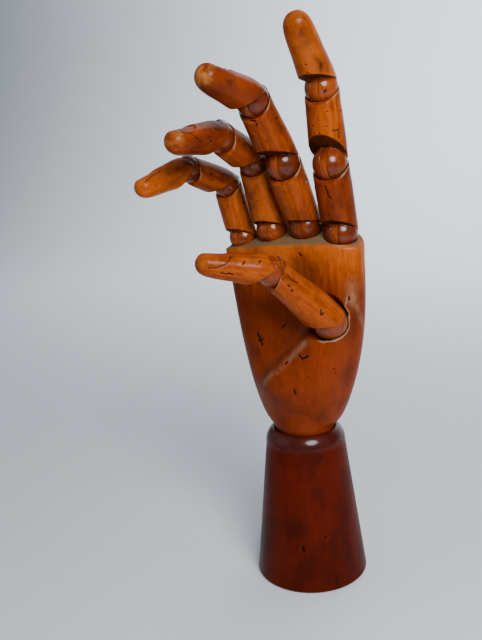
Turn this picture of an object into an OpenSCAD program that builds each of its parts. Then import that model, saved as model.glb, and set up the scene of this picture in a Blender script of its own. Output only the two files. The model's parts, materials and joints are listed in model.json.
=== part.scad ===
// Jointed wooden hand on a turned foot, a drawing and display figure.
// Sizes are in millimetres. The foot stands on z = 0 with its middle at the origin.
// The palm faces -Y, the thumb is on the +X side and the fingers point up.
// Every knuckle is the same joint. The upper piece ends in a ball that is sawn into
// two cheeks. A wooden tongue fills the saw slot, and a pin crosses cheeks and tongue.
// The tenon of the tongue is let into the lower piece, where a brad holds it.

/* [Turned foot] */
// height of the foot up to its lip
foot_height = 84.7; // [60:0.1:120]
// radius of the foot where it stands
foot_base_r = 30.5; // [20:0.1:50]
// radius where the straight side turns into the shoulder
foot_shoulder_r = 21.5; // [19:0.1:30]
// radius of the rounding of the shoulder
foot_shoulder_round = 9.5; // [6:0.1:14]
// drop from the lip to the widest part of the shoulder
foot_shoulder_drop = 7.6; // [4:0.1:12]
// bevel at the bottom edge of the foot
foot_bevel = 1.2; // [0.2:0.1:4]

/* [Wrist joint] */
// radius of the ball at the lower end of the palm
wrist_ball_r = 16.4; // [12:0.1:18]
// height of the middle of that ball above the lip of the foot
wrist_rise = 2; // [0.5:0.1:5]
// thickness of the wrist tongue
wrist_tongue_w = 6; // [3:0.1:10]
// radius of the round tenon under the wrist tongue
wrist_tenon_r = 6; // [3:0.1:10]
// length of that tenon below the ball
wrist_tenon_len = 22; // [8:0.5:40]
// radius of the disc of the wrist tongue
wrist_disc_r = 12; // [8:0.1:15]
// half the length of the opening in the ball in which the tongue swings
wrist_swing = 9; // [7:0.1:13]
// radius of the wrist pin
wrist_pin_r = 2; // [1:0.1:4]
// half the length of the wrist pin, which is plugged at both ends
wrist_pin_half = 10; // [6:0.1:14]
// radius of the brad that keeps the round tenon in the foot
wrist_brad_r = 1.1; // [0.6:0.1:2]

/* [Palm] */
// height of the highest knuckle, the middle finger's
knuckle_height = 193.7; // [150:0.1:240]
// how far the palm's skin starts inside the wrist ball
neck_inset = 0.8; // [0.4:0.1:2]
// place across the hand where the row of knuckles is highest
knuckle_peak_x = 5; // [-10:0.1:15]
// fall of the knuckle row towards the little finger
knuckle_fall_little = 0.020; // [0:0.001:0.05]
// fall of the knuckle row towards the index finger
knuckle_fall_index = 0.0316; // [0:0.001:0.05]
// half width of the palm at the knuckles, on the little finger's side
palm_half_little = 39.6; // [34:0.1:48]
// half width of the palm at the knuckles, on the thumb's side
palm_half_thumb = 36.8; // [34:0.1:46]
// how far the thumb's side bellies out halfway up
palm_belly = 4; // [0:0.1:8]
// depth of the palm in front of the knuckle pins, at the knuckles
palm_front = 11.3; // [9.5:0.1:18]
// depth of the back of the hand behind the knuckle pins
palm_back = 12; // [10:0.1:18]
// rise of the pad under the thumb
thumb_pad_rise = 6.5; // [0:0.1:10]
// depth of the hollow of the palm
palm_hollow = 3.2; // [0:0.1:5]
// steepness of the sloping end that holds the knuckle cups
palm_end_slope = 0.58; // [0.2:0.01:0.9]
// how much straighter the front edge of that end is than the knuckle row
palm_edge_straight = 0.55; // [0:0.01:1]
// how much lower that end lies behind the pins, where the fingers lean back
palm_end_relief = 2; // [0:0.1:3]

/* [Fingers] */
// place of the index knuckle across the hand
index_x = 25.6; // [20:0.1:34]
// place of the middle knuckle across the hand
middle_x = 6.4; // [2:0.1:12]
// place of the ring knuckle across the hand
ring_x = -12.9; // [-18:0.1:-8]
// place of the little knuckle across the hand
little_x = -30; // [-36:0.1:-25]
// index finger, pin to pin to pin to the middle of the round tip
index_lengths = [35.8, 35.3, 33.1]; // [20:0.1:50]
// middle finger, the same three lengths
middle_lengths = [37.8, 37.7, 33.5]; // [20:0.1:50]
// ring finger, the same three lengths
ring_lengths = [38.2, 32.6, 33.3]; // [20:0.1:50]
// little finger, the same three lengths
little_lengths = [30.4, 29.7, 29.4]; // [15:0.1:45]
// index finger, radii of its three balls and of its tip
index_radii = [8.6, 8.6, 7.9, 6.7]; // [4:0.1:9]
// middle finger, the same four radii
middle_radii = [8.6, 8.6, 7.8, 6.4]; // [4:0.1:9]
// ring finger, the same four radii
ring_radii = [8.0, 7.8, 7.2, 6.0]; // [4:0.1:9]
// little finger, the same four radii
little_radii = [7.4, 7.0, 6.5, 5.4]; // [4:0.1:8]
// index finger, how far each of its joints is bent as it stands
index_bends = [15.8, -5.9, 31.5]; // [-8:0.1:90]
// middle finger, the same three bends
middle_bends = [31.3, 8.5, 35.6]; // [-8:0.1:90]
// ring finger, the same three bends
ring_bends = [21.4, 45.5, 24.9]; // [-8:0.1:90]
// little finger, the same three bends
little_bends = [19.2, 52.1, 30.5]; // [-8:0.1:90]
// how far each finger is turned about its own length, from index to little
finger_turns = [-2.1, -4.5, -3.0, -12.0]; // [-15:0.1:15]

/* [Thumb] */
// middle of the thumb's base ball
thumb_base = [22.7, -12, 146.2]; // [-60:0.1:200]
// aim of the thumb's cup, as turns about x, then y, then z
thumb_aim = [35.1, 13.9, -47.1]; // [-90:0.1:90]
// thumb, pin to pin to the middle of the round tip
thumb_lengths = [44, 31.8]; // [20:0.1:60]
// radii of its two balls and of its tip
thumb_radii = [8.9, 7.5, 6.0]; // [4:0.1:11]
// how far its two joints are bent as it stands
thumb_bends = [10, 31.7]; // [-8:0.1:80]
// radius of the round tenon that lets the thumb swivel
thumb_tenon_r = 3.5; // [2:0.1:5]
// radius of the flat that is cut around the thumb's cup
thumb_landing_r = 10.3; // [9.9:0.1:16]
// how far that flat lies below the thumb's pin, as a part of the ball's radius
thumb_cup_drop = 0.1; // [0:0.01:0.5]
// how far the lower joint of the thumb can close, measured from the axis of its tenon
thumb_closes = 45; // [0:1:60]

/* [Joints] */
// how much wider than its ball a finger piece is, as a radius
piece_over_ball = 0.35; // [0.1:0.05:1.5]
// steepness of the sloping mouth of a cup
cup_slope = 0.58; // [0.2:0.01:0.9]
// how far the mouth of a cup lies below the pin, as a part of the ball's radius
cup_drop = 0.25; // [0:0.01:0.5]
// angle of the cut above a ball at the knuckles
knuckle_notch = 38; // [10:1:60]
// angle of the cut above a ball at the finger joints
finger_notch = 48; // [10:1:60]
// distance of the knuckle cut from the pin, as a part of the ball's radius
knuckle_notch_off = 0.25; // [0.1:0.01:0.6]
// distance of the finger cut from the pin, as a part of the ball's radius
finger_notch_off = 0.42; // [0.1:0.01:0.7]
// thickness of a tongue
tongue_w = 3; // [2:0.1:5]
// width of the tenon of a tongue, as a part of the ball's radius
tenon_share = 0.85; // [0.5:0.01:1]
// length of a tenon below its ball
tenon_len = 9; // [5:0.1:12]
// radius of a hinge pin
pin_r = 0.9; // [0.5:0.05:1.5]
// wood over the sunk ends of a hinge pin
pin_cover = 1.4; // [0.6:0.1:2.5]
// radius of a brad
brad_r = 0.6; // [0.4:0.05:1]
// distance of a brad below the surface of its ball
brad_drop = 3.2; // [2:0.1:8]
// how far a brad stands out of the wood
brad_out = 0.15; // [0:0.05:0.5]
// how far the one brad that has worked loose stands out
loose_brad_out = 0.9; // [0:0.1:3]

/* [Fits] */
// gap between a ball and its cup
ball_gap = 0.3; // [0.1:0.05:0.6]
// gap on each side of a tongue in its saw slot
slot_gap = 0.2; // [0.1:0.05:0.6]
// running gap around a pin or a round tenon
turn_gap = 0.06; // [0.02:0.01:0.1]
// gap around a piece that is held fast
fast_gap = 0.02; // [0.01:0.01:0.05]
// gap between the back edge of a ball piece and the mouth of its cup
mouth_gap = 1.3; // [0.3:0.05:2]

/* [Fingernails] */
// width of the nail of a finger, as a part of the tip's radius
nail_share = 0.78; // [0.5:0.01:0.95]
// depth that the nail is let in
nail_depth = 0.55; // [0.2:0.05:1.2]

/* [Hidden] */
$fn = 64;
wrist_z = foot_height + wrist_rise;
wrist_brad_z = wrist_z - wrist_ball_r - wrist_tenon_len / 2;
wrist_neck_half = 4;
neck_r = wrist_ball_r - neck_inset;
finger_x = [index_x, middle_x, ring_x, little_x];
finger_lengths = [index_lengths, middle_lengths, ring_lengths, little_lengths];
finger_radii = [index_radii, middle_radii, ring_radii, little_radii];
finger_bends = [index_bends, middle_bends, ring_bends, little_bends];
around = 56;
levels = 30;
far = 60;
wood = [0.72, 0.37, 0.12];
pale_wood = [0.78, 0.5, 0.24];
dark_wood = [0.35, 0.1, 0.05];
steel = [0.72, 0.7, 0.66];

// Where things are

// height of the knuckle row at a place across the hand
function row_z(x) = knuckle_height
    - (x < knuckle_peak_x ? knuckle_fall_little : knuckle_fall_index)
    * pow(abs(x - knuckle_peak_x), 1.6);

// frame of a finger's knuckle, before it bends
module at_knuckle(f) {
    translate([finger_x[f], 0, row_z(finger_x[f])])
        rotate([0, 0, finger_turns[f]])
            children();
}

// frame of joint k of a finger; bent = 1 is the frame of the piece above it
module at_joint(f, k, bent = 1) {
    b = finger_bends[f];
    l = finger_lengths[f];
    at_knuckle(f)
        if (k == 0)
            rotate([bent * b[0], 0, 0])
                children();
        else if (k == 1)
            rotate([b[0], 0, 0])
                translate([0, 0, l[0]])
                    rotate([bent * b[1], 0, 0])
                        children();
        else
            rotate([b[0], 0, 0])
                translate([0, 0, l[0]])
                    rotate([b[1], 0, 0])
                        translate([0, 0, l[1]])
                            rotate([bent * b[2], 0, 0])
                                children();
}

// frame of joint k of the thumb
module at_thumb(k, bent = 1) {
    translate(thumb_base)
        rotate(thumb_aim)
            if (k == 0)
                rotate([bent * thumb_bends[0], 0, 0])
                    children();
            else
                rotate([thumb_bends[0], 0, 0])
                    translate([0, 0, thumb_lengths[0]])
                        rotate([bent * thumb_bends[1], 0, 0])
                            children();
}

// The pieces of a joint, with the pin along x and the cup below

// all that lies above a sloping plane; its slope rises towards +y
module above(slope, lift) {
    translate([0, 0, lift])
        rotate([atan(slope), 0, 0])
            translate([-far, -far, 0])
                cube([2 * far, 2 * far, 2 * far]);
}

// all that lies on the back side of the notch above a ball
module behind_notch(angle, off) {
    rotate([-angle, 0, 0])
        translate([-far, -far, off])
            cube([2 * far, 2 * far, 2 * far]);
}

// a pin or brad along x, from one place to another
module rod_x(r, from_x, to_x) {
    translate([from_x, 0, 0])
        rotate([0, 90, 0])
            cylinder(r = r, h = to_x - from_x);
}

// saw slot in a ball, round enough to clear the tongue at every bend
module saw_slot(r, w) {
    rod_x(r + ball_gap, -w / 2 - slot_gap, w / 2 + slot_gap);
}

// wooden tongue: a disc in the ball, and a flat tenon in the piece below
module tongue(r) {
    tenon_w = tenon_share * r;
    difference() {
        union() {
            rod_x(r - 0.05, -tongue_w / 2, tongue_w / 2);
            translate([-tongue_w / 2, -tenon_w / 2, -r - tenon_len])
                cube([tongue_w, tenon_w, tenon_len + r / 2]);
        }
        rod_x(pin_r + turn_gap, -tongue_w, tongue_w);
        translate([0, 0, -r - brad_drop])
            rod_x(brad_r + fast_gap, -tongue_w, tongue_w);
    }
}

// room for that tenon in the piece below
module mortise(r) {
    w = tongue_w + 2 * fast_gap;
    tenon_w = tenon_share * r + 2 * fast_gap;
    translate([-w / 2, -tenon_w / 2, -r - tenon_len - fast_gap])
        cube([w, tenon_w, tenon_len + r / 2]);
}

// hinge pin across a ball, its ends sunk and plugged with wood
module hinge_pin(r, fit = 0) {
    half = r - pin_cover + fit;
    rod_x(pin_r + fit, -half, half);
}

// brad across a tenon, driven from the +x side
module cross_brad(r, wall, out) {
    translate([0, 0, -r - brad_drop])
        rod_x(brad_r, -tongue_w / 2 - 2, wall + out);
}

// hole for that brad
module cross_brad_hole(r, wall) {
    translate([0, 0, -r - brad_drop])
        rod_x(brad_r + fast_gap, -tongue_w / 2 - 2.1, wall + 4);
}

// cup for a ball with its sloping mouth, its poles square to the mouth
module cup(r) {
    rotate([atan(cup_slope), 0, 0])
        sphere(r = r + ball_gap);
    above(cup_slope, -cup_drop * r);
}

// The finger pieces

// turned body of a piece with a cup at its upper end
module shank(r0, r1, len) {
    a = r0 + piece_over_ball;
    b = r1 + piece_over_ball;
    rotate_extrude()
        polygon([[0, -r0], [a - 0.5, -r0], [a, -r0 * 0.2], [a + 0.15, len * 0.3],
                 [b + 0.25, len * 0.72], [b + 0.1, len - r1], [b + 0.1, len + 0.55 * r1],
                 [0, len + 0.55 * r1]]);
}

// turned body of a last piece, drawn in to a round tip
module tip_shank(r0, rt, len) {
    a = r0 + piece_over_ball;
    rotate_extrude()
        polygon(concat([[0, -r0], [a - 0.5, -r0], [a, -r0 * 0.2], [a + 0.1, len * 0.25]],
                       [for (t = [0:10:90])
                            let (s = sin(t))
                            [(rt + (a - rt) * 0.45 * (1 - s)) * cos(t * t / 90),
                             len * 0.62 + (len * 0.38 + rt) * s]]));
}

// what every piece has at its lower end; slope and drop are those of its cup's mouth
module ball_end(r, notch, off, slope = cup_slope, drop = cup_drop) {
    difference() {
        union() {
            sphere(r = r);
            intersection() {
                children(0);
                behind_notch(notch, off * r);
                above(slope, -drop * r + mouth_gap * sqrt(1 + slope * slope));
            }
        }
        saw_slot(r, tongue_w);
        hinge_pin(r, fast_gap);
    }
}

// plate of a fingernail, let into the back of a tip
module nail_cut(r0, rt, len) {
    w = nail_share * rt;
    difference() {
        union() {
            translate([0, 0, len - 1.1 * rt])
                rotate([-90, 0, 0])
                    cylinder(r = w, h = 3 * rt);
            translate([-w, 0, len - 1.1 * rt])
                cube([2 * w, 3 * rt, 4 * rt]);
        }
        translate([0, rt + 0.3 * (r0 + piece_over_ball - rt) - nail_depth - 1.25 * rt,
                   len - 1.1 * rt - w])
            rotate([5, 0, 0])
                cylinder(r = 1.25 * rt, h = 2 * far, center = true);
    }
}

// a piece with a ball below and a cup above
module ball_and_cup(r0, r1, len, notch, off, slope = cup_slope, drop = cup_drop) {
    wall = r1 + piece_over_ball + 0.25;
    difference() {
        ball_end(r0, notch, off, slope, drop)
            shank(r0, r1, len);
        translate([0, 0, len]) {
            cup(r1);
            mortise(r1);
            cross_brad_hole(r1, wall);
        }
    }
}

// a last piece, with a nail
module ball_and_tip(r0, rt, len, notch, off) {
    difference() {
        ball_end(r0, notch, off)
            tip_shank(r0, rt, len);
        nail_cut(r0, rt, len);
    }
}

// piece k of finger f
module finger_piece(f, k) {
    r = finger_radii[f];
    l = finger_lengths[f];
    at_joint(f, k)
        if (k < 2)
            ball_and_cup(r[k], r[k + 1], l[k],
                         k == 0 ? knuckle_notch : finger_notch,
                         k == 0 ? knuckle_notch_off : finger_notch_off);
        else
            ball_and_tip(r[2], r[3], l[2], finger_notch, finger_notch_off);
}

// The palm

// a smooth step from 0 to 1
function ease(t) = let (c = max(0, min(1, t))) c * c * (3 - 2 * c);

// height on the palm as a share of its length, measured from the wrist ball
function share(z) = max(0, min(1, (z - wrist_z) / (knuckle_height - wrist_z)));

// half widths and depths of the palm at that share of its length
function half_little(s) = neck_r + (palm_half_little - neck_r) * pow(s, 0.45);
function half_thumb(s) = neck_r + (palm_half_thumb - neck_r) * pow(s, 0.45)
    + palm_belly * sin(180 * s);
function front_depth(s) = palm_front + (neck_r - palm_front) * pow(1 - s, 1.2);
function back_depth(s) = palm_back + (neck_r - palm_back) * pow(1 - s, 1.2);
function squareness(s) = 2 + s;

// how far a place lies to the thumb's side of the crease below the thumb
function past_crease(x, z) = ((x - 9.6) * 0.69 - (z - 141) * 0.725);

// rise of the pad under the thumb, in front of the plain surface
function pad(x, z) = thumb_pad_rise
    * ease(past_crease(x, z) / 7 + 0.3)
    * ease((z - wrist_z - 2) / 26)
    * ease((half_thumb(share(z)) - x) / 7)
    * ease((half_little(share(z)) + x) / 22)
    * ease((168 - z) / 24);

// rise of the pad below the little finger
function little_pad(x, z) = 1.6 * ease((z - wrist_z - 4) / 26)
    * ease((-4 - x) / 14) * ease((172 - z) / 40);

// depth of the hollow in the middle of the palm
function hollow(x, z) = palm_hollow
    * exp(-pow((x - 2) / 19, 2) - pow((z - 157) / 18, 2));

// sloping end of the palm, which carries the knuckle cups; its front edge is straighter
function end_z(x, y) =
    let (fall = knuckle_height - row_z(x),
         kept = 1 - palm_edge_straight * ease(-y / palm_front))
    knuckle_height - kept * fall - cup_drop * index_radii[0] + palm_end_slope * y
        - palm_end_relief * ease((y + 0.5) / 2.5);

// how far the back of the hand lies behind the knuckle pins
function back_y(x, z) =
    let (s = share(z),
         w = x > 0 ? half_thumb(s) : half_little(s))
    back_depth(s) * pow(1 - pow(abs(x) / w, squareness(s)), 1 / squareness(s));

// a point of the skin of the palm: level j, place i around it
function skin(i, j) =
    let (a = 360 * i / around,
         s = pow(j / levels, 1.35),
         e = 2 / squareness(s),
         cx = sign(cos(a)) * pow(abs(cos(a)), e),
         cy = sign(sin(a)) * pow(abs(sin(a)), e),
         x = cx * (cx > 0 ? half_thumb(s) : half_little(s)),
         y0 = cy * (cy > 0 ? back_depth(s) : front_depth(s)),
         z = wrist_z + s * (end_z(x, y0) - wrist_z),
         front = cy < 0 ? ease(-cy / 0.8) : 0,
         y = y0 - front * (pad(x, z) + little_pad(x, z) - hollow(x, z)))
    [x, y, z];

skin_points = [for (j = [0:levels], i = [0:around - 1]) skin(i, j)];

skin_faces = concat(
    [[for (i = [0:around - 1]) i]],
    [for (j = [0:levels - 1], i = [0:around - 1])
        [j * around + i, (j + 1) * around + i, (j + 1) * around + (i + 1) % around]],
    [for (j = [0:levels - 1], i = [0:around - 1])
        [j * around + i, (j + 1) * around + (i + 1) % around, j * around + (i + 1) % around]],
    [for (i = [0:around / 2 - 2])
        let (o = levels * around) [o + (around - i) % around, o + around - i - 1, o + i + 1]],
    [for (i = [1:around / 2 - 1])
        let (o = levels * around) [o + (around - i) % around, o + i + 1, o + i]]);

module palm_block() {
    translate([0, 0, wrist_z])
        sphere(r = wrist_ball_r);
    polyhedron(points = skin_points, faces = skin_faces, convexity = 6);
}

// brad from the back of the hand into the tenon of a knuckle, up to a height behind the pin
module back_brad(f, fit, to_y) {
    r = finger_radii[f][0];
    from_y = -tenon_share * r / 2 - 1.5 - fit;
    translate([0, from_y, -r - brad_drop - 1])
        rotate([-90, 0, 0])
            cylinder(r = brad_r + fit, h = to_y - from_y);
}

// where the head of that brad lies
function brad_head_y(f) =
    let (x = finger_x[f])
    back_y(x, row_z(x) - finger_radii[f][0] - brad_drop - 1) - 0.8;

// The nodes

module foot() {
    color(dark_wood)
    difference() {
        rotate_extrude()
            intersection() {
                union() {
                    polygon([[0, 0], [foot_base_r - foot_bevel, 0],
                             [foot_base_r, foot_bevel],
                             [foot_shoulder_r, foot_height - foot_shoulder_drop],
                             [0, foot_height - foot_shoulder_drop]]);
                    translate([foot_shoulder_r - foot_shoulder_round + 0.15,
                               foot_height - foot_shoulder_drop])
                        circle(r = foot_shoulder_round);
                    square([foot_shoulder_r - foot_shoulder_round + 1, foot_height]);
                }
                square([2 * foot_base_r, foot_height]);
            }
        translate([0, 0, wrist_z])
            sphere(r = wrist_ball_r + ball_gap);
        translate([0, 0, wrist_z - wrist_ball_r - wrist_tenon_len - 1])
            cylinder(r = wrist_tenon_r + turn_gap, h = wrist_tenon_len + wrist_ball_r);
        wrist_brad_line(fast_gap, far);
    }
}

// line of the brad that runs past the round wrist tenon, in its groove
module wrist_brad_line(fit, to_y) {
    translate([wrist_tenon_r, -wrist_tenon_r - 1 - fit, wrist_brad_z])
        rotate([-90, 0, 0])
            cylinder(r = wrist_brad_r + fit, h = to_y + wrist_tenon_r + 1 + fit);
}

// radius of the straight side of the foot at a height
function foot_r(z) = foot_base_r
    - (foot_base_r - foot_shoulder_r) * z / (foot_height - foot_shoulder_drop);

module foot_brad() {
    color(steel)
    wrist_brad_line(0, sqrt(pow(foot_r(wrist_brad_z), 2) - pow(wrist_tenon_r, 2)) - 0.8);
}

module wrist_tongue() {
    color(pale_wood)
    translate([0, 0, wrist_z])
        difference() {
            union() {
                rod_x(wrist_disc_r, -wrist_tongue_w / 2, wrist_tongue_w / 2);
                translate([-wrist_tongue_w / 2, -wrist_neck_half, -wrist_ball_r - 2])
                    cube([wrist_tongue_w, 2 * wrist_neck_half, wrist_ball_r]);
                translate([0, 0, -wrist_ball_r - wrist_tenon_len])
                    cylinder(r = wrist_tenon_r, h = wrist_tenon_len - ball_gap);
            }
            rod_x(wrist_pin_r + turn_gap, -wrist_tongue_w, wrist_tongue_w);
            translate([0, 0, wrist_brad_z - wrist_z])
                rotate_extrude()
                    translate([wrist_tenon_r, 0])
                        circle(r = wrist_brad_r + ball_gap);
        }
}

module wrist_pin() {
    color(steel)
    translate([0, 0, wrist_z])
        rod_x(wrist_pin_r, -wrist_pin_half, wrist_pin_half);
}

module palm() {
    color(wood)
    difference() {
        palm_block();
        for (f = [0:3])
            at_knuckle(f) {
                sphere(r = finger_radii[f][0] + ball_gap);
                mortise(finger_radii[f][0]);
                back_brad(f, fast_gap, far);
            }
        at_thumb(0, 0) {
            sphere(r = thumb_radii[0] + ball_gap);
            translate([0, 0, -thumb_cup_drop * thumb_radii[0]])
                cylinder(r = thumb_landing_r, h = far);
            rotate([thumb_closes, 0, 0])
                cylinder(r = thumb_radii[0] + piece_over_ball + ball_gap, h = far);
            translate([0, 0, -thumb_radii[0] - tenon_len - fast_gap])
                cylinder(r = thumb_tenon_r + turn_gap, h = tenon_len + thumb_radii[0] / 2);
            thumb_brad_line(fast_gap, -2 * far);
        }
        translate([0, 0, wrist_z]) {
            saw_slot(wrist_disc_r, wrist_tongue_w);
            translate([-wrist_tongue_w / 2 - slot_gap, -wrist_swing, -2 * wrist_ball_r])
                cube([wrist_tongue_w + 2 * slot_gap, 2 * wrist_swing, 2 * wrist_ball_r]);
            rod_x(wrist_pin_r + fast_gap, -wrist_pin_half - fast_gap,
                  wrist_pin_half + fast_gap);
        }
    }
}

// line of the brad that runs past the thumb's round tenon, in its groove
module thumb_brad_line(fit, from_x) {
    translate([0, thumb_tenon_r, -thumb_radii[0] - tenon_len / 2 - 1])
        rod_x(brad_r + fit, from_x, thumb_tenon_r + 1 + fit);
}

module palm_brads() {
    color(steel) {
        for (f = [0:3])
            at_knuckle(f)
                back_brad(f, 0, brad_head_y(f));
        at_thumb(0, 0)
            thumb_brad_line(0, -21);
    }
}

module finger_tongue(f, k) {
    color(pale_wood)
    at_joint(f, k, 0)
        if (k == 0)
            knuckle_tongue(f);
        else
            tongue(finger_radii[f][k]);
}

// a tongue let into the palm, with its brad hole from the back
module knuckle_tongue(f) {
    r = finger_radii[f][0];
    tenon_w = tenon_share * r;
    difference() {
        union() {
            rod_x(r - 0.05, -tongue_w / 2, tongue_w / 2);
            translate([-tongue_w / 2, -tenon_w / 2, -r - tenon_len])
                cube([tongue_w, tenon_w, tenon_len + r / 2]);
        }
        rod_x(pin_r + turn_gap, -tongue_w, tongue_w);
        back_brad(f, fast_gap, far);
    }
}

module finger_pin(f, k) {
    color(steel)
    at_joint(f, k)
        hinge_pin(finger_radii[f][k]);
}

module finger_brad(f, k, out = brad_out) {
    r = finger_radii[f][k];
    color(steel)
    at_joint(f, k, 0)
        cross_brad(r, r + piece_over_ball + 0.15, out);
}

module index_proximal() { color(wood) finger_piece(0, 0); }
module index_middle() { color(wood) finger_piece(0, 1); }
module index_distal() { color(wood) finger_piece(0, 2); }
module middle_proximal() { color(wood) finger_piece(1, 0); }
module middle_middle() { color(wood) finger_piece(1, 1); }
module middle_distal() { color(wood) finger_piece(1, 2); }
module ring_proximal() { color(wood) finger_piece(2, 0); }
module ring_middle() { color(wood) finger_piece(2, 1); }
module ring_distal() { color(wood) finger_piece(2, 2); }
module little_proximal() { color(wood) finger_piece(3, 0); }
module little_middle() { color(wood) finger_piece(3, 1); }
module little_distal() { color(wood) finger_piece(3, 2); }

module thumb_proximal() {
    color(wood)
    at_thumb(0)
        ball_and_cup(thumb_radii[0], thumb_radii[1], thumb_lengths[0],
                     knuckle_notch, knuckle_notch_off, 0, thumb_cup_drop);
}

module thumb_distal() {
    color(wood)
    at_thumb(1)
        ball_and_tip(thumb_radii[1], thumb_radii[2], thumb_lengths[1],
                     finger_notch, finger_notch_off);
}

module thumb_tongue_a() {
    r = thumb_radii[0];
    color(pale_wood)
    at_thumb(0, 0)
        difference() {
            union() {
                rod_x(r - 0.05, -tongue_w / 2, tongue_w / 2);
                translate([-tongue_w / 2, -thumb_tenon_r * 0.8, -r - 2])
                    cube([tongue_w, thumb_tenon_r * 1.6, r]);
                translate([0, 0, -r - tenon_len])
                    cylinder(r = thumb_tenon_r, h = tenon_len - ball_gap - 0.1);
            }
            rod_x(pin_r + turn_gap, -tongue_w, tongue_w);
            translate([0, 0, -r - tenon_len / 2 - 1])
                rotate_extrude()
                    translate([thumb_tenon_r, 0])
                        circle(r = brad_r + ball_gap);
        }
}

module thumb_tongue_b() { color(pale_wood) at_thumb(1, 0) tongue(thumb_radii[1]); }
module thumb_pin_a() { color(steel) at_thumb(0) hinge_pin(thumb_radii[0]); }
module thumb_pin_b() { color(steel) at_thumb(1) hinge_pin(thumb_radii[1]); }
module thumb_brad_b() {
    r = thumb_radii[1];
    color(steel)
    at_thumb(1, 0)
        cross_brad(r, r + piece_over_ball + 0.15, brad_out);
}

module index_tongue_a() { finger_tongue(0, 0); }
module index_tongue_b() { finger_tongue(0, 1); }
module index_tongue_c() { finger_tongue(0, 2); }
module middle_tongue_a() { finger_tongue(1, 0); }
module middle_tongue_b() { finger_tongue(1, 1); }
module middle_tongue_c() { finger_tongue(1, 2); }
module ring_tongue_a() { finger_tongue(2, 0); }
module ring_tongue_b() { finger_tongue(2, 1); }
module ring_tongue_c() { finger_tongue(2, 2); }
module little_tongue_a() { finger_tongue(3, 0); }
module little_tongue_b() { finger_tongue(3, 1); }
module little_tongue_c() { finger_tongue(3, 2); }

module index_pin_a() { finger_pin(0, 0); }
module index_pin_b() { finger_pin(0, 1); }
module index_pin_c() { finger_pin(0, 2); }
module middle_pin_a() { finger_pin(1, 0); }
module middle_pin_b() { finger_pin(1, 1); }
module middle_pin_c() { finger_pin(1, 2); }
module ring_pin_a() { finger_pin(2, 0); }
module ring_pin_b() { finger_pin(2, 1); }
module ring_pin_c() { finger_pin(2, 2); }
module little_pin_a() { finger_pin(3, 0); }
module little_pin_b() { finger_pin(3, 1); }
module little_pin_c() { finger_pin(3, 2); }

module index_brad_b() { finger_brad(0, 1); }
module index_brad_c() { finger_brad(0, 2); }
module middle_brad_b() { finger_brad(1, 1, loose_brad_out); }
module middle_brad_c() { finger_brad(1, 2); }
module ring_brad_b() { finger_brad(2, 1); }
module ring_brad_c() { finger_brad(2, 2); }
module little_brad_b() { finger_brad(3, 1); }
module little_brad_c() { finger_brad(3, 2); }

foot();
palm();
foot_brad();
palm_brads();
wrist_tongue();
wrist_pin();
index_proximal();
index_middle();
index_distal();
middle_proximal();
middle_middle();
middle_distal();
ring_proximal();
ring_middle();
ring_distal();
little_proximal();
little_middle();
little_distal();
thumb_proximal();
thumb_distal();
index_tongue_a();
index_tongue_b();
index_tongue_c();
middle_tongue_a();
middle_tongue_b();
middle_tongue_c();
ring_tongue_a();
ring_tongue_b();
ring_tongue_c();
little_tongue_a();
little_tongue_b();
little_tongue_c();
thumb_tongue_a();
thumb_tongue_b();
index_pin_a();
index_pin_b();
index_pin_c();
middle_pin_a();
middle_pin_b();
middle_pin_c();
ring_pin_a();
ring_pin_b();
ring_pin_c();
little_pin_a();
little_pin_b();
little_pin_c();
thumb_pin_a();
thumb_pin_b();
index_brad_b();
index_brad_c();
middle_brad_b();
middle_brad_c();
ring_brad_b();
ring_brad_c();
little_brad_b();
little_brad_c();
thumb_brad_b();
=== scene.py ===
# %% [markdown]
# # A jointed wooden hand on a turned foot
#
# The hand is an old drawing figure: a carved palm, fourteen turned finger pieces with
# ball-and-cup knuckles, and a foot of darker wood. All of it is varnished, handled and
# bumped. The exact solids are loaded first. Their places and sizes are never changed here.

# %% Load the solids
import json
import math

import bpy
import numpy as np
from mathutils import Matrix, Vector
from mathutils.bvhtree import BVHTree

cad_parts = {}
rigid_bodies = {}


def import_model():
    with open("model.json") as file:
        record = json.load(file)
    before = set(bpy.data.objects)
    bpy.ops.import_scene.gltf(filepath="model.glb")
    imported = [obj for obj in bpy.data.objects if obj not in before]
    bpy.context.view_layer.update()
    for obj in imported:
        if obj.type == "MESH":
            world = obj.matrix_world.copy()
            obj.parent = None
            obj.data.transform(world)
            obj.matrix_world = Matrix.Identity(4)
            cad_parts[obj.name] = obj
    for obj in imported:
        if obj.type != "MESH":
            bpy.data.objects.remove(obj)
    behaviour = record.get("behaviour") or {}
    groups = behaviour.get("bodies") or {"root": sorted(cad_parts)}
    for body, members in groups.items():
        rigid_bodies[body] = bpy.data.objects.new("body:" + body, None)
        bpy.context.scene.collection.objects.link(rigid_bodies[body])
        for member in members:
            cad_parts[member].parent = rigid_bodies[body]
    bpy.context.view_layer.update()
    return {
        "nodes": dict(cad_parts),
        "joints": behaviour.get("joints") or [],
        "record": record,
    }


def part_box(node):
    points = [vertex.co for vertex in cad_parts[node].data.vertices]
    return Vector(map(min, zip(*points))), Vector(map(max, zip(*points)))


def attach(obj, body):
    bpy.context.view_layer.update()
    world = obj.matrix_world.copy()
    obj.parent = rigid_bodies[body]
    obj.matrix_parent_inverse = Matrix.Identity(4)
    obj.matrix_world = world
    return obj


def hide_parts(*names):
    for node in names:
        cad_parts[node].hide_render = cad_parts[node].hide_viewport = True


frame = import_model()
MM = 0.001
body_of = {node: body for body, nodes in frame["record"]["behaviour"]["bodies"].items()
           for node in nodes}
slot_of = {part["node"]: part["material_slot"] for part in frame["record"]["subparts"]}

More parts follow.
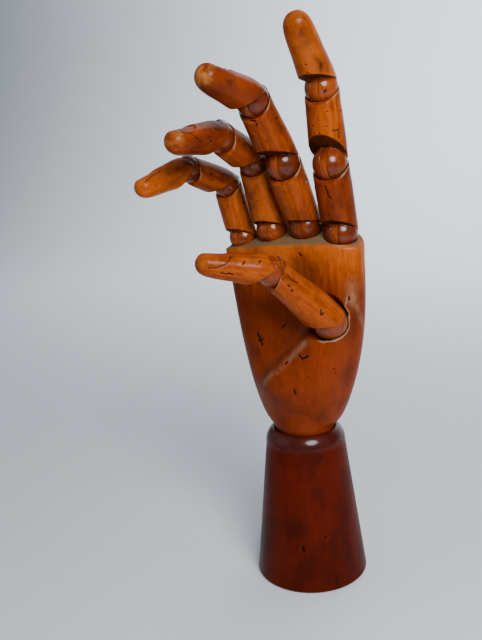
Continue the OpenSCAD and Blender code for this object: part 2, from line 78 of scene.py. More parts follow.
# %% [markdown]
# ## The camera
#
# The camera stands where the photograph was taken from. Its place, its turn and its lens
# were worked out from known points of the hand. It is made early, because small marks in
# the wood are placed by looking through it.

# %% Camera
PICTURE = (482, 640)
LENS, SENSOR = 42.69, 36.0
EYE = Vector((0.16315, -0.35757, 0.23506))
FORWARD = Vector((-0.4727, 0.8527, -0.2224)).normalized()
ROLL = math.radians(4.18)


def view_axes():
    level = FORWARD.cross(Vector((0, 0, 1))).normalized()
    upright = level.cross(FORWARD)
    right = level * math.cos(ROLL) - upright * math.sin(ROLL)
    return right, right.cross(FORWARD)


RIGHT, UP = view_axes()
bpy.ops.object.select_all(action="DESELECT")
bpy.ops.object.camera_add()
camera = bpy.context.object
camera.name = "camera"
camera.data.lens = LENS
camera.data.sensor_fit = "VERTICAL"
camera.data.sensor_height = SENSOR
camera.data.clip_start = 0.01
turn = Matrix((RIGHT, UP, -FORWARD)).transposed().to_4x4()
camera.matrix_world = Matrix.Translation(EYE) @ turn
bpy.context.scene.camera = camera
print("camera at", tuple(round(c, 3) for c in EYE))


# %% [markdown]
# ## Reading and writing a mesh
#
# Blender can hand all points of a mesh over as one table of numbers, which is much faster
# than walking through them one by one. Two small helpers do this.

# %% Points in and out
def points_of(piece):
    table = np.empty(len(piece.data.vertices) * 3)
    piece.data.vertices.foreach_get("co", table)
    return table.reshape(-1, 3)


def normals_of(piece):
    table = np.empty(len(piece.data.vertices) * 3)
    piece.data.vertex_normals.foreach_get("vector", table)
    return table.reshape(-1, 3)


def move_points(piece, points):
    piece.data.vertices.foreach_set("co", points.ravel())
    piece.data.update()


def store(piece, name, values, kind="FLOAT"):
    layer = piece.data.attributes.new(name, kind, "POINT")
    field = "vector" if kind == "FLOAT_VECTOR" else "value"
    layer.data.foreach_set(field, np.ascontiguousarray(values, np.float32).ravel())


def smoothstep(values, low, high):
    share = np.clip((values - low) / (high - low), 0, 1)
    return share * share * (3 - 2 * share)


# %% [markdown]
# ## Softening the turned pieces
#
# The solids have knife-sharp rims, and their meshes are made of long thin triangles. Old
# wood has neither. A copy of each solid is merged, rebuilt on a fine even grid by the
# Remesh modifier and then smoothed a little, which rounds the rims as sanding and years
# of handling do. An even mesh can also carry small dents.

# %% Copies on an even grid
GRID = {"palm": 0.56, "foot": 0.56}
FINE_GRID = 0.36
SMOOTH_SHARE = 0.5
SWELLING = 0.17


def copy_of(node):
    source = frame["nodes"][node]
    piece = source.copy()
    piece.data = source.data.copy()
    piece.name = node + "_wood"
    piece.parent = None
    bpy.context.scene.collection.objects.link(piece)
    bpy.ops.object.select_all(action="DESELECT")
    piece.select_set(True)
    bpy.context.view_layer.objects.active = piece
    piece.data.materials.clear()
    bpy.ops.object.mode_set(mode="EDIT")
    bpy.ops.mesh.select_all(action="SELECT")
    bpy.ops.mesh.remove_doubles(threshold=1e-6)
    bpy.ops.object.mode_set(mode="OBJECT")
    if piece.data.has_custom_normals:
        bpy.ops.mesh.customdata_custom_splitnormals_clear()
    return piece


def soften(piece, grid, rounds):
    remesh = piece.modifiers.new("grid", "REMESH")
    remesh.mode = "VOXEL"
    remesh.voxel_size = grid * MM
    bpy.ops.object.modifier_apply(modifier="grid")
    smooth = piece.modifiers.new("round", "SMOOTH")
    smooth.factor = SMOOTH_SHARE
    smooth.iterations = rounds
    bpy.ops.object.modifier_apply(modifier="round")
    bpy.ops.object.shade_smooth()


def fill_slot(piece, node):
    """Thickens a tongue a little, because swollen wood fills its slot nearly to the sides."""
    box_low, box_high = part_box(node)
    pins = [j for j in frame["joints"] if "swivel" not in j["name"]]
    pin = min(pins, key=lambda j: (Vector(j["pos_m"]) - (box_low + box_high) / 2).length)
    across, centre = np.array(pin["axis"]), np.array(pin["pos_m"])
    points = points_of(piece)
    side = (points - centre) @ across
    move_points(piece, points + np.outer(np.sign(side) * SWELLING * MM, across))


def soften_skin(piece, rounds):
    """Smooths the carved skin of the palm further, but not its cups and its sawn end."""
    skin = piece.vertex_groups.new(name="skin")
    centres = [np.array(j["pos_m"]) for j in frame["joints"] if j["parent"] == "palm"]
    points = points_of(piece)
    away = np.min([np.linalg.norm(points - c, axis=1) for c in centres], axis=0) / MM
    weight = smoothstep(away, 12.5, 17) * smoothstep(180 - points[:, 2] / MM, 0, 5)
    smooth_group(piece, skin, weight, rounds)


def round_front_edge(piece, rounds):
    """Rounds the palm's front edge under the fingers, which hands have worn down."""
    edge = piece.vertex_groups.new(name="edge")
    knuckles = [j for j in frame["joints"] if j["name"].endswith("_knuckle")]
    points = points_of(piece)
    away = np.min([np.linalg.norm(points - np.array(j["pos_m"]), axis=1) for j in knuckles],
                  axis=0) / MM
    weight = smoothstep(away, 9.6, 11.5) * smoothstep(points[:, 2] / MM, 170, 176) \
        * smoothstep(-points[:, 1] / MM, 5, 8)
    smooth_group(piece, edge, weight, rounds)


def smooth_group(piece, group, weight, rounds):
    for level in range(1, 11):
        chosen = np.flatnonzero(np.round(weight * 10) == level)
        group.add(chosen.tolist(), level / 10, "REPLACE")
    smooth = piece.modifiers.new("carve", "SMOOTH")
    smooth.vertex_group = group.name
    smooth.factor = SMOOTH_SHARE
    smooth.iterations = rounds
    bpy.ops.object.modifier_apply(modifier="carve")
    piece.vertex_groups.clear()


# %% [markdown]
# ## Rounding the wood, easing the tongues
#
# The carved and turned pieces get the even grid. The tongues are thin sawn discs with
# tenons, so they keep their own mesh and only lose their sharp corners to a small bevel.

# %% Make the copies
wooden = [n for n in frame["nodes"] if slot_of[n] in ("wood", "dark_wood")]
tongues = [n for n in frame["nodes"] if slot_of[n] == "pale_wood"]
pieces = {}
for node in wooden:
    pieces[node] = copy_of(node)
    soften(pieces[node], GRID.get(node, FINE_GRID), 4)
    if node == "palm":
        soften_skin(pieces[node], 120)
        round_front_edge(pieces[node], 40)
for node in tongues:
    pieces[node] = copy_of(node)
    if node != "wrist_tongue":
        fill_slot(pieces[node], node)
    bevel = pieces[node].modifiers.new("edge", "BEVEL")
    bevel.width = 0.25 * MM
    bevel.segments = 2
    bevel.angle_limit = math.radians(40)
    bpy.ops.object.modifier_apply(modifier="edge")
    bpy.ops.object.shade_smooth_by_angle(angle=math.radians(35))
print("grid pieces", len(wooden), "faces", sum(len(pieces[n].data.polygons) for n in wooden))


# %% [markdown]
# ## Cracks, nicks and worm holes
#
# The old varnish is marked all over: fine drying cracks along the grain, small round
# worm holes and a gash in the palm. Each mark is a short line of places as they are seen
# through the camera. A ray from the eye finds where the line lies on the wood, and the
# points near it are pressed in, so that the marks are real hollows. Three wider lines are
# not pressed in: along them the palm is painted pale grey and made rougher, as a painted
# sheen, the reflection along the palm's crease and on its mound by the thumb.

# %% Finding a line of the picture on the wood
def ray_through(x, y):
    reach = LENS / SENSOR * PICTURE[1]
    aim = FORWARD * reach + RIGHT * (x - PICTURE[0] / 2) - UP * (y - PICTURE[1] / 2)
    return aim.normalized()


def closeness(piece, line, width):
    """1 for points on a line of picture places, falling to 0 about a width away from it."""
    tree = BVHTree.FromObject(piece, bpy.context.evaluated_depsgraph_get())
    hits = [tree.ray_cast(EYE, ray_through(x, y))[0] for x, y in line]
    hits = [np.array(h) for h in hits if h is not None]
    points = points_of(piece)
    near = np.full(len(points), 1.0)
    for start, end in zip(hits, hits[1:] or hits):
        along = end - start
        share = (points - start) @ along / max(along @ along, 1e-12)
        foot_point = start + np.clip(share, 0, 1)[:, None] * along
        near = np.minimum(near, np.linalg.norm(points - foot_point, axis=1))
    return np.exp(-(near / (0.72 * width * MM)) ** 2)


def press_line(piece, line, width, depth):
    """Presses a groove along a line and returns how deep each point lies in it."""
    sunk = closeness(piece, line, width)
    move_points(piece, points_of(piece) - normals_of(piece) * (sunk * depth * MM)[:, None])
    return sunk


# %% [markdown]
# ## The marks one by one
#
# Each row holds the piece, the width and the depth of the mark in millimetres, and the
# places of its line in the picture. A single place makes a worm hole.

# %% Marks in the wood
CRACKS = [
    ("index_distal", 0.50, 0.6, [(305.5, 65)]),
    ("index_distal", 0.50, 0.6, [(307.5, 73.5)]),
    ("index_distal", 0.70, 0.4, [(325.5, 90), (324, 92)]),
    ("index_middle", 0.45, 0.6, [(327.5, 111.5)]),
    ("index_middle", 0.50, 0.6, [(312, 126)]),
    ("index_middle", 0.45, 0.6, [(327, 126.5)]),
    ("index_middle", 0.50, 0.6, [(313.5, 133.5)]),
    ("index_middle", 0.45, 0.6, [(319, 134)]),
    ("index_middle", 0.40, 0.5, [(333, 131), (339, 129.5)]),
    ("index_middle", 0.40, 0.5, [(338, 130), (339, 134), (339.5, 138)]),
    ("index_proximal", 0.45, 0.55, [(324.5, 186), (327, 192), (328, 196), (331, 199)]),
    ("middle_middle", 0.45, 0.55, [(250, 120), (255, 121), (257, 124), (256, 126)]),
    ("middle_middle", 0.60, 0.7, [(253, 136)]),
    ("middle_middle", 0.45, 0.5, [(265.5, 142)]),
    ("middle_proximal", 0.45, 0.5, [(284.5, 192)]),
    ("ring_distal", 0.45, 0.5, [(215, 129), (218, 131)]),
    ("ring_distal", 0.50, 0.5, [(210, 142.5), (212, 140.5)]),
    ("ring_distal", 0.45, 0.5, [(200.5, 140.5)]),
    ("ring_proximal", 0.45, 0.5, [(257.5, 201)]),
    ("thumb_distal", 0.40, 0.5, [(243, 264), (245, 261)]),
    ("thumb_distal", 0.40, 0.5, [(259, 263), (261, 260)]),
    ("thumb_distal", 0.40, 0.4, [(250, 258), (253, 258.5)]),
    ("thumb_distal", 0.45, 0.6, [(221, 273), (226, 274.5), (229, 273.5), (233, 275)]),
    ("thumb_distal", 0.45, 0.5, [(228, 280)]),
    ("thumb_proximal", 0.40, 0.55, [(282, 270), (288, 275), (292, 280), (298, 283)]),
    ("thumb_proximal", 0.50, 0.5, [(283, 279)]),
    ("thumb_proximal", 0.50, 0.5, [(288, 285), (290, 287)]),
    ("thumb_proximal", 0.60, 0.25, [(321, 310), (321, 315), (324, 313)]),
    ("palm", 0.75, 1.0, [(257, 333), (259.5, 338), (262, 345)]),
    ("palm", 0.60, 0.6, [(258, 341), (263, 339)]),
    ("palm", 0.60, 0.8, [(298.5, 355), (301.5, 359), (308, 356.5)]),
    ("palm", 0.60, 0.7, [(285, 364), (287, 362)]),
    ("palm", 0.60, 0.7, [(334, 369)]),
    ("palm", 0.55, 0.6, [(335.5, 373)]),
    ("palm", 0.60, 0.5, [(308, 377)]),
    ("palm", 0.65, 0.7, [(294, 390), (295, 394)]),
    ("palm", 0.50, 0.6, [(270, 397)]),
    ("palm", 0.50, 0.5, [(278, 371)]),
    ("palm", 0.60, 0.6, [(349, 297), (349.5, 300)]),
    ("palm", 0.60, 0.6, [(299, 253), (301, 256)]),
    ("palm", 0.55, 0.6, [(282, 328), (285, 324)]),
    ("thumb_distal", 0.35, 0.2, [(231, 256), (229, 261), (226, 265), (219, 267), (208, 268)]),
    ("ring_distal", 0.35, 0.2, [(180, 132), (190, 133), (197, 138), (200, 141)]),
    ("little_distal", 0.35, 0.2, [(160, 171), (153, 175), (146, 181), (141, 187)]),
    ("foot", 1.0, 0.6, [(303, 547), (304, 551)]),
    ("foot", 0.8, 0.5, [(325.5, 537)]),
]
# Lines along which the palm is painted pale grey as sheen: the piece, the width in millimetres
# and the places of the line in the picture.
SHEEN_LINES = [
    ("palm", 2.6, [(264, 383), (275, 372), (287, 361), (304, 343)]),
    ("palm", 5.0, [(352, 286), (353, 300)]),
    ("palm", 2.2, [(357, 306), (361, 318), (364, 332)]),
]
painted_sheen = {node: 0.0 for node in pieces}
for node, width, line in SHEEN_LINES:
    painted_sheen[node] = np.maximum(painted_sheen[node], closeness(pieces[node], line, width))
cracked = {node: 0.0 for node in pieces}
for node, width, depth, line in CRACKS:
    cracked[node] = np.maximum(cracked[node], press_line(pieces[node], line, width, depth))
print("marks", len(CRACKS), "rubbed places", len(SHEEN_LINES))


# %% [markdown]
# ## Grain, wear, dirt and painted shade as attributes
#
# The grain of each piece runs along that piece, whichever way the finger points. So each
# point stores its place in the piece's own frame, in millimetres, and the material reads
# that instead of the scene's axes. Two more values come from the shape itself: ridges are
# worn pale, and hollows are painted dark, partly as dirt and partly as painted shade. A
# ridge is where a point stands proud of its neighbours, a hollow is where it lies below them.

# %% Frames of the pieces
WIDE_ROUNDS, EVEN_ROUNDS = 6, 2
joint_of = {joint["child"]: joint for joint in frame["joints"]}


def distance_to(points, joint):
    return np.linalg.norm(points - np.array(joint["pos_m"]), axis=1) / MM


def piece_frame(node):
    """Origin and axes of a piece: x along its lower pin, z along its length."""
    points = points_of(pieces[node])
    if node in ("palm", "foot") or body_of[node] in ("palm", "foot", "wrist_tongue"):
        return np.zeros(3), np.eye(3)
    joint = joint_of[body_of[node]]
    origin = np.array(joint["pos_m"])
    across = np.array(joint["axis"])
    length = points.mean(axis=0) - origin
    length -= across * (length @ across)
    length /= np.linalg.norm(length)
    return origin, np.array([across, np.cross(length, across), length])


def bulge(piece):
    """How far each point stands above (+) or below (-) its neighbours, smoothed."""
    points, normals = points_of(piece), normals_of(piece)
    edges = np.empty(len(piece.data.edges) * 2, int)
    piece.data.edges.foreach_get("vertices", edges)
    a, b = edges.reshape(-1, 2).T
    count = np.bincount(np.concatenate([a, b]), minlength=len(points))[:, None]

    def neighbours(values):
        total = np.zeros_like(values)
        np.add.at(total, a, values[b])
        np.add.at(total, b, values[a])
        return total / np.maximum(count, 1)

    wide = points
    for _ in range(WIDE_ROUNDS):
        wide = neighbours(wide)
    rise = np.einsum("ij,ij->i", points - wide, normals)[:, None]
    for _ in range(EVEN_ROUNDS):
        rise = neighbours(rise)
    return rise[:, 0] / MM


# %% [markdown]
# ## Sawn faces
#
# The varnish was put on before the hand was assembled, and it never reached the insides
# of the cups. The sloping end of the palm and the flat round the thumb were cut last and
# are dull with dust. The sloping notch faces at the lower end of each finger piece, above
# its ball, are painted dark brown, as painted shade with some dirt. These places are found
# by where they lie and which way they face.

# %% Find the sawn faces
PALM_END = np.array([0, -0.50, 0.866])


def sawn_faces(node, points, normals, origin, axes):
    """1 on sawn faces, dusty on the palm and painted shade in the finger notches; 0 on
    varnished wood.
    """
    if node in tongues:
        return np.zeros(len(points))
    if node == "palm":
        thumb = joint_of["thumb_tongue"]
        x, y, z = points.T / MM
        to_thumb, to_little = np.maximum(x - 5, 0) / 21, np.maximum(5 - x, 0) / 35
        front = 10.5 - 2.6 * to_thumb ** 2 - 1.5 * to_little ** 2
        end = smoothstep(normals @ PALM_END, 0.72, 0.93) * smoothstep(z, 172, 176) \
            * smoothstep(front + y, -0.8, 0.8)
        flat = smoothstep(normals @ np.array(thumb["axis"]), 0.8, 0.95) \
            * (distance_to(points, thumb) < 12)
        return np.maximum(end, flat)
    if node == "foot":
        return smoothstep(-normals[:, 2], 0.9, 0.98) * (points[:, 2] < 2 * MM)
    local = (points - origin) @ axes.T / MM
    facing = normals @ axes.T
    radius = np.linalg.norm(local[np.abs(local[:, 2]) < 2], axis=1).max() - 0.6
    clear = smoothstep(np.linalg.norm(local, axis=1), radius, radius + 0.5)
    low = smoothstep(2.0 * radius - local[:, 2], 0, 2)
    notch = smoothstep(facing @ np.array([0, -0.743, -0.669]), 0.8, 0.95)
    return notch * clear * low


# %% [markdown]
# ## Where hands and time have been
#
# Four more places differ from the rest. The rims of the cups are chipped to a thin pale
# line. The balls are redder and darker, because they turn in their cups and keep their
# varnish. The tips of the fingers are rubbed nearly bare. And each piece was cut from
# another stick, so some are honey-coloured and some nearly brown.

# %% Rims, balls, tips and sticks
STICK = {"little_distal": 0.95, "little_middle": 0.4, "little_proximal": 0.6,
         "ring_distal": 0.15, "ring_middle": 0.35, "ring_proximal": 0.85,
         "middle_distal": 0.0, "middle_middle": 0.25, "middle_proximal": 0.4,
         "index_distal": 0.95, "index_middle": 0.5, "index_proximal": 0.1,
         "thumb_distal": 0.5, "thumb_proximal": 0.48}
OTHER_STICK, TONGUE_SHINE = 0.6, 0.7
CUP_REACH, LIP_WIDTH = 12, 2.2


def stick_of(node, points):
    """How pale the wood is. The palm is dark at the wrist and pale under the fingers."""
    if node == "palm":
        return 0.85 * smoothstep(points[:, 2] / MM, 150, 186)
    return np.full(len(points), STICK.get(node, OTHER_STICK))


def rim_of(node, points):
    """1 on the lip of each cup of a piece, 0 further away from it."""
    lip = np.zeros(len(points))
    cups = [j for j in frame["joints"] if j["parent"] == body_of[node]
            and (node == "palm" or "swivel" not in j["name"])]
    for joint in cups:
        away = distance_to(points, joint)
        if away.min() < CUP_REACH:
            cup = np.quantile(away, 0.002)
            lip = np.maximum(lip, (away < cup + LIP_WIDTH) * (away > cup + 0.05))
    return lip


def points_low(node, points):
    origin, axes = piece_frame(node)
    return ((points - origin) @ axes[2]) < 0


def ball_of(node, points):
    """1 on the ball of a piece and on the foot's shoulder, a little less on the tongues."""
    if node == "palm":
        return np.zeros(len(points))
    if node in tongues:
        return np.full(len(points), TONGUE_SHINE)
    if node == "foot":
        height = points[:, 2] / MM
        return smoothstep(height, height.max() - 9, height.max() - 5)
    away = distance_to(points, joint_of[body_of[node]])
    radius = np.median(away[points_low(node, points)])
    return 1 - smoothstep(away, radius + 0.05, radius + 0.35)


def tip_of(node, points):
    """How much the end of a fingertip is worn bare, which shows most on a dark finger."""
    if not node.endswith("_distal"):
        return np.zeros(len(points))
    origin, axes = piece_frame(node)
    along = (points - origin) @ axes[2] / MM
    return smoothstep(along, along.max() - 8.5, along.max() - 2) * (1 - 0.8 * STICK[node])


# %% [markdown]
# ## Writing the values to the pieces
#
# All values go onto the points as attributes. The grain of each piece is also shifted by
# a length of its own, so that no two pieces show the same stretch of wood.

# %% Store them
for index, (node, piece) in enumerate(pieces.items()):
    origin, axes = piece_frame(node)
    points, normals = points_of(piece), normals_of(piece)
    nothing = np.zeros(len(points))
    shift = np.array([37.0 * index, 53.0 * index % 101, 71.0 * index])
    store(piece, "grain", (points - origin) @ axes.T / MM + shift, "FLOAT_VECTOR")
    rise = bulge(piece) if node in wooden else nothing
    values = {"ridge": smoothstep(rise, 0.07, 0.20) * rim_of(node, points),
              "edge": smoothstep(rise, 0.06, 0.22),
              "ball": ball_of(node, points),
              "tip": tip_of(node, points),
              "stick": stick_of(node, points),
              "hollow": smoothstep(-rise, 0.04, 0.2),
              "crack": cracked[node],
              "painted_sheen": painted_sheen[node],
              "sawn": sawn_faces(node, points, normals, origin, axes)}
    for name, value in values.items():
        store(piece, name, nothing + value)
print("attributes on", len(pieces), "pieces")

# %% [markdown]
# ## Writing materials as sums
#
# A wood finish is mostly arithmetic: this much streak, that much dirt. The class below
# wraps one socket of a node, so that an expression such as `1 - dirt * 0.5` adds the Math
# nodes by itself. Its `node` method makes any other node.


# %% Values of a material
class Value:
    def __init__(self, tree, socket=None):
        self.tree = tree
        self.socket = socket

    def node(self, kind, settings=None, sockets=None, out=0):
        made = self.tree.nodes.new(kind)
        for key, setting in (settings or {}).items():
            setattr(made, key, setting)
        for key, given in (sockets or {}).items():
            if isinstance(given, Value):
                self.tree.links.new(given.socket, made.inputs[key])
            else:
                made.inputs[key].default_value = given
        return Value(self.tree, made.outputs[out])

    def math(self, operation, first, second):
        return self.node("ShaderNodeMath", {"operation": operation}, {0: first, 1: second})

    def __add__(self, other):
        return self.math("ADD", self, other)

    __radd__ = __add__

    def __mul__(self, other):
        return self.math("MULTIPLY", self, other)

    __rmul__ = __mul__

    def __sub__(self, other):
        return self.math("SUBTRACT", self, other)

    def __rsub__(self, other):
        return self.math("SUBTRACT", other, self)

    def between(self, low, high):
        return self.node("ShaderNodeMapRange", {"interpolation_type": "SMOOTHSTEP"},
                         {0: self, 1: low, 2: high})

    def stretched(self, x, y, z):
        return self.node("ShaderNodeVectorMath", {"operation": "MULTIPLY"},
                         {0: self, 1: (x, y, z)})

    def shifted(self, other):
        return self.node("ShaderNodeVectorMath", {"operation": "ADD"}, {0: self, 1: other})

    def noise(self, detail=2.0, rough=0.5, out=0):
        return self.node("ShaderNodeTexNoise", None,
                         {"Vector": self, "Scale": 1.0, "Detail": detail,
                          "Roughness": rough}, out)

    def mixed(self, low, high):
        """Colour low where this value is 0, colour high where it is 1."""
        return self.node("ShaderNodeMix", {"data_type": "RGBA"},
                         {0: self, 6: low, 7: high}, 2)

    def stored(self, name, out=2):
        return self.node("ShaderNodeAttribute", {"attribute_name": name}, None, out)


def tone(red, green, blue):
    """A colour as a screen shows it, 0 to 255, made ready for a socket."""
    parts = [c / 255 for c in (red, green, blue)]
    return tuple(c / 12.92 if c < 0.04045 else ((c + 0.055) / 1.055) ** 2.4
                 for c in parts) + (1.0,)


def new_material(name):
    material = bpy.data.materials.new(name)
    material.use_nodes = True
    material.node_tree.nodes.clear()
    return material, Value(material.node_tree)


def finish_with(start, shader):
    output = start.tree.nodes.new("ShaderNodeOutputMaterial")
    start.tree.links.new(shader.socket, output.inputs["Surface"])


# %% [markdown]
# ## Varnished wood
#
# Close up the wood has four layers. Broad soft streaks run along the grain, fine fibres
# lie inside them, short dark pores are scattered between, and the varnish on top has gone
# uneven, darker where it pooled and missing where hands wore it off. Worn ridges show
# bare pale wood. Hollows and cracks are painted dark brown, partly as dirt and partly as
# painted shade.


# %% Varnished wood
def varnished(name, light, middle, dark, honey, chipped_and_sheen, dirt_and_shade, dust_and_shade, coat=0.2, gloss=0.3,
              mottle=0.45):
    material, start = new_material(name)
    grain = start.stored("grain", 1)
    drift = grain.stretched(0.09, 0.09, 0.02).noise(2.0, 0.5, 1)
    bent = grain.shifted(drift.stretched(5.0, 5.0, 5.0))
    streak = bent.stretched(0.50, 0.50, 0.020).noise(4.0, 0.6)
    fibre = bent.stretched(4.2, 4.2, 0.16).noise(3.0, 0.6)
    pore = grain.stretched(2.6, 2.6, 0.28).noise(1.0, 0.5).between(0.63, 0.72)
    cloud = grain.stretched(0.07, 0.07, 0.045).noise(3.0, 0.55)
    smear = grain.stretched(0.20, 0.20, 0.12).noise(4.0, 0.6)
    speck = grain.stretched(1.1, 1.1, 0.9).noise(2.0, 0.6).between(0.70, 0.75)
    ridge, hollow = start.stored("ridge"), start.stored("hollow")
    crack, sawn = start.stored("crack"), start.stored("sawn")
    edge, ball, tip = start.stored("edge"), start.stored("ball"), start.stored("tip")
    stick, sheen_share = start.stored("stick"), start.stored("painted_sheen") * smear.between(0.30, 0.72)
    worn = (ridge * (smear + 0.60)).between(0.30, 0.75)
    bare = (edge * 0.35 + tip * 0.5 + smear * 1.4 - 0.65).between(0.35, 0.80)
    # Hollows and cracks: partly dirt, partly painted shade in the recesses.
    grime_and_shade = (hollow * 1.2 + crack * 1.3).between(0.15, 0.9)

    ripe = (streak * 0.6 + fibre * 0.4).between(0.32, 0.68)
    body = (stick + 0.25 - ripe * 0.5).between(0.0, 1.0).mixed(middle, light)
    stain = cloud.between(0.40, 0.70) * 0.6 + smear.between(0.48, 0.72) * mottle
    body = stain.mixed(body, dark)
    body = (ball * 0.45).mixed(body, dark)
    # Painted sheen: pale grey along the palm's crease and on its mound by the thumb.
    body = (sheen_share * 0.6).mixed(body, chipped_and_sheen)
    body = (pore * 0.45).mixed(body, dark)
    body = (bare * 0.5).mixed(body, honey)
    body = (worn * 0.8).mixed(body, chipped_and_sheen)
    body = (speck * 0.7).mixed(body, dirt_and_shade)
    # Sawn faces: dust on the palm and the foot, painted shade with some dirt in the finger
    # notches.
    body = (sawn * (0.55 + smear * 0.6)).mixed(body, dust_and_shade)
    body = (grime_and_shade * 0.9).mixed(body, dirt_and_shade)

    rough = gloss + fibre * 0.10 + smear * 0.12 + worn * 0.2 + sheen_share * 0.2 \
        + grime_and_shade * 0.25 + sawn * 0.35
    skin = (ball * 0.5 + coat) * (1 - worn * 0.5) * (1 - grime_and_shade * 0.6) * (1 - sawn * 0.9)
    relief = fibre * 0.30 + streak * 0.5 - pore * 0.8 - speck * 0.7 + smear * 0.8
    bump = start.node("ShaderNodeBump", None,
                      {"Strength": 0.25, "Distance": 0.3 * MM, "Height": relief})
    shader = start.node("ShaderNodeBsdfPrincipled", None, {
        "Base Color": body, "Roughness": rough, "Coat Weight": skin,
        "Coat Roughness": 0.18, "Coat Tint": (1, 0.82, 0.55, 1), "IOR": 1.5,
        "Specular IOR Level": 0.03, "Normal": bump})
    finish_with(start, shader)
    return material


# The chipped colour also paints the sheen on the palm.
HONEY, CHIPPED_AND_SHEEN, DIRT_AND_SHADE = tone(206, 136, 66), tone(148, 116, 88), tone(22, 10, 4)
# The dirt colour also paints the shade in hollows and cracks.
hand_wood = varnished("hand_wood", tone(180, 86, 20), tone(122, 44, 3), tone(60, 18, 1),
                      HONEY, CHIPPED_AND_SHEEN, DIRT_AND_SHADE, tone(98, 88, 66), mottle=0.2)
# Its last colour paints the finger notch faces dark brown, as shade with some dirt.
finger_wood = varnished("finger_wood", tone(180, 86, 18), tone(124, 46, 3),
                        tone(60, 18, 1), HONEY, CHIPPED_AND_SHEEN, DIRT_AND_SHADE, tone(38, 21, 10))
foot_wood = varnished("foot_wood", tone(90, 20, 1), tone(70, 13, 1), tone(36, 7, 1),
                      tone(124, 50, 16), tone(112, 66, 42), tone(14, 5, 2),
                      tone(84, 56, 38), coat=0.08, gloss=0.26, mottle=0.1)
tongue_wood = varnished("tongue_wood", tone(174, 82, 24), tone(134, 56, 12),
                        tone(76, 28, 6), HONEY, CHIPPED_AND_SHEEN, tone(44, 24, 12),
                        tone(140, 104, 64), gloss=0.4)
print("wood finishes ready")


# %% [markdown]
# ## Wire pins and brads
#
# The brads are plain iron wire. All but one were varnished over and look like dark spots.
# The brad that works loose at the middle finger has its bare end out and still shines.

# %% Wire
def wire(name, bare, rust):
    material, start = new_material(name)
    place = start.node("ShaderNodeTexCoord", None, None, 3)
    stain = place.stretched(900, 900, 900).noise(3.0, 0.6).between(0.45, 0.7)
    colour = (stain * 0.8).mixed(bare, rust)
    shader = start.node("ShaderNodeBsdfPrincipled", None, {
        "Base Color": colour, "Metallic": 1 - stain * 0.6, "Roughness": 0.32 + stain * 0.3})
    finish_with(start, shader)
    return material


bright_wire = wire("bright_wire", tone(206, 200, 190), tone(150, 130, 110))
dark_wire = wire("dark_wire", tone(84, 54, 34), tone(48, 28, 16))
for node, solid in frame["nodes"].items():
    if slot_of[node] == "steel":
        solid.data.materials.clear()
        solid.data.materials.append(bright_wire if node == "middle_brad_b" else dark_wire)

# %% [markdown]
# ## Dressing
#
# Each copy takes the place of its solid and moves with that solid's body. The carved finger
# pieces and the palm are the same wood, but the notch faces of the finger pieces are painted
# dark brown as shade with some dirt, where the palm's sawn faces are grey with dust.

# %% Dress the pieces
finish_of = {"wood": hand_wood, "dark_wood": foot_wood, "pale_wood": tongue_wood}
for node, piece in pieces.items():
    piece.data.materials.clear()
    carved = slot_of[node] == "wood" and node != "palm"
    piece.data.materials.append(finger_wood if carved else finish_of[slot_of[node]])
    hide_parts(node)
    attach(piece, body_of[node])
print("dressed", len(pieces))

# %% [markdown]
# ## Floor
#
# A pale sheet lies under the foot and curves up behind the hand, as in a photo studio. One
# bent sheet has no corner that could show behind the fingers.

# %% Sheet
SHEET_FRONT, SHEET_TURN, SHEET_BEND, SHEET_TOP = -3.0, 0.9, 0.6, 3.0


def sheet_place(travel):
    """Place of a line of the sheet after some travel from its front edge: flat, bend, wall."""
    flat = SHEET_TURN - SHEET_FRONT
    turned = np.clip((travel - flat) / SHEET_BEND, 0, math.pi / 2)
    wall = np.maximum(travel - flat - SHEET_BEND * math.pi / 2, 0)
    along = SHEET_FRONT + np.minimum(travel, flat) + SHEET_BEND * np.sin(turned)
    return along, SHEET_BEND * (1 - np.cos(turned)) + wall


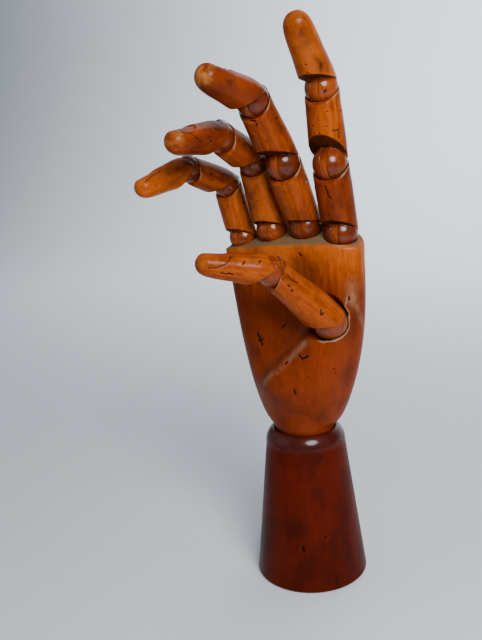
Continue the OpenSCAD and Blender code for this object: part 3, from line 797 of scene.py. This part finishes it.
bpy.ops.object.select_all(action="DESELECT")
bpy.ops.mesh.primitive_grid_add(x_subdivisions=8, y_subdivisions=120, size=1)
floor = bpy.context.object
floor.name = "floor"
lines = points_of(floor)
length = SHEET_TURN - SHEET_FRONT + SHEET_BEND * math.pi / 2 + SHEET_TOP
along, height = sheet_place((lines[:, 1] + 0.5) * length)
move_points(floor, np.column_stack([lines[:, 0] * 9, along, height]))
bpy.ops.object.shade_smooth()
floor_paint, start = new_material("floor_paint")
floor_shade = start.node("ShaderNodeBsdfPrincipled", None, {
    "Base Color": (0.77, 0.82, 0.88, 1), "Roughness": 0.9, "Specular IOR Level": 0.1})
finish_with(start, floor_shade)
floor.data.materials.append(floor_paint)


# %% [markdown]
# ## Light
#
# The main lamp stands close to the camera, a little to its right and above it, so the
# middle of every stick is bright and its sides fall off into brown. Its reflection is the
# small bright spot on each ball. A second lamp fills the left side, and a third shines on
# the upright part of the sheet. Past the sheet the sky is as pale as the sheet to the eye,
# but it sheds less light than it shows, so that the hand keeps its shaded sides.

# %% Lamps
def lamp(name, place, target, size, power):
    bpy.ops.object.light_add(type="AREA", location=place)
    light = bpy.context.object
    light.name = name
    light.data.shape = "DISK"
    light.data.size = size
    light.data.energy = power
    aim = Vector(target) - Vector(place)
    light.rotation_euler = aim.to_track_quat("-Z", "Y").to_euler()
    return light


MIDDLE = Vector((0, 0, 0.16))
lamp("key_lamp", EYE + RIGHT * 0.14 + UP * 0.20 - FORWARD * 0.12, MIDDLE, 0.30, 4.3)
lamp("fill_lamp", (-0.9, -0.7, 0.6), MIDDLE, 1.0, 1)
sheet_lamp = lamp("sheet_lamp", (0, 0.3, 1.9), (0, 1.6, 0.6), 1.2, 26)
sheet_lamp.data.spread = math.radians(100)

SKY_LIGHT, SKY_SEEN = 0.16, 0.42
world = bpy.data.worlds.new("sky")
bpy.context.scene.world = world
world.use_nodes = True
sky = world.node_tree.nodes["Background"]
sky.inputs["Color"].default_value = (0.93, 0.96, 1.0, 1)
start = Value(world.node_tree)
camera_ray, glossy_ray, clear_ray = (start.node("ShaderNodeLightPath", out=place)
                                     for place in (0, 3, 6))
seen = SKY_LIGHT + (SKY_SEEN - SKY_LIGHT) * (camera_ray + glossy_ray + clear_ray)
world.node_tree.links.new(seen.socket, sky.inputs["Strength"])
print("lamps", len(bpy.data.lights), "sky seen at", SKY_SEEN, "and shining at", SKY_LIGHT)
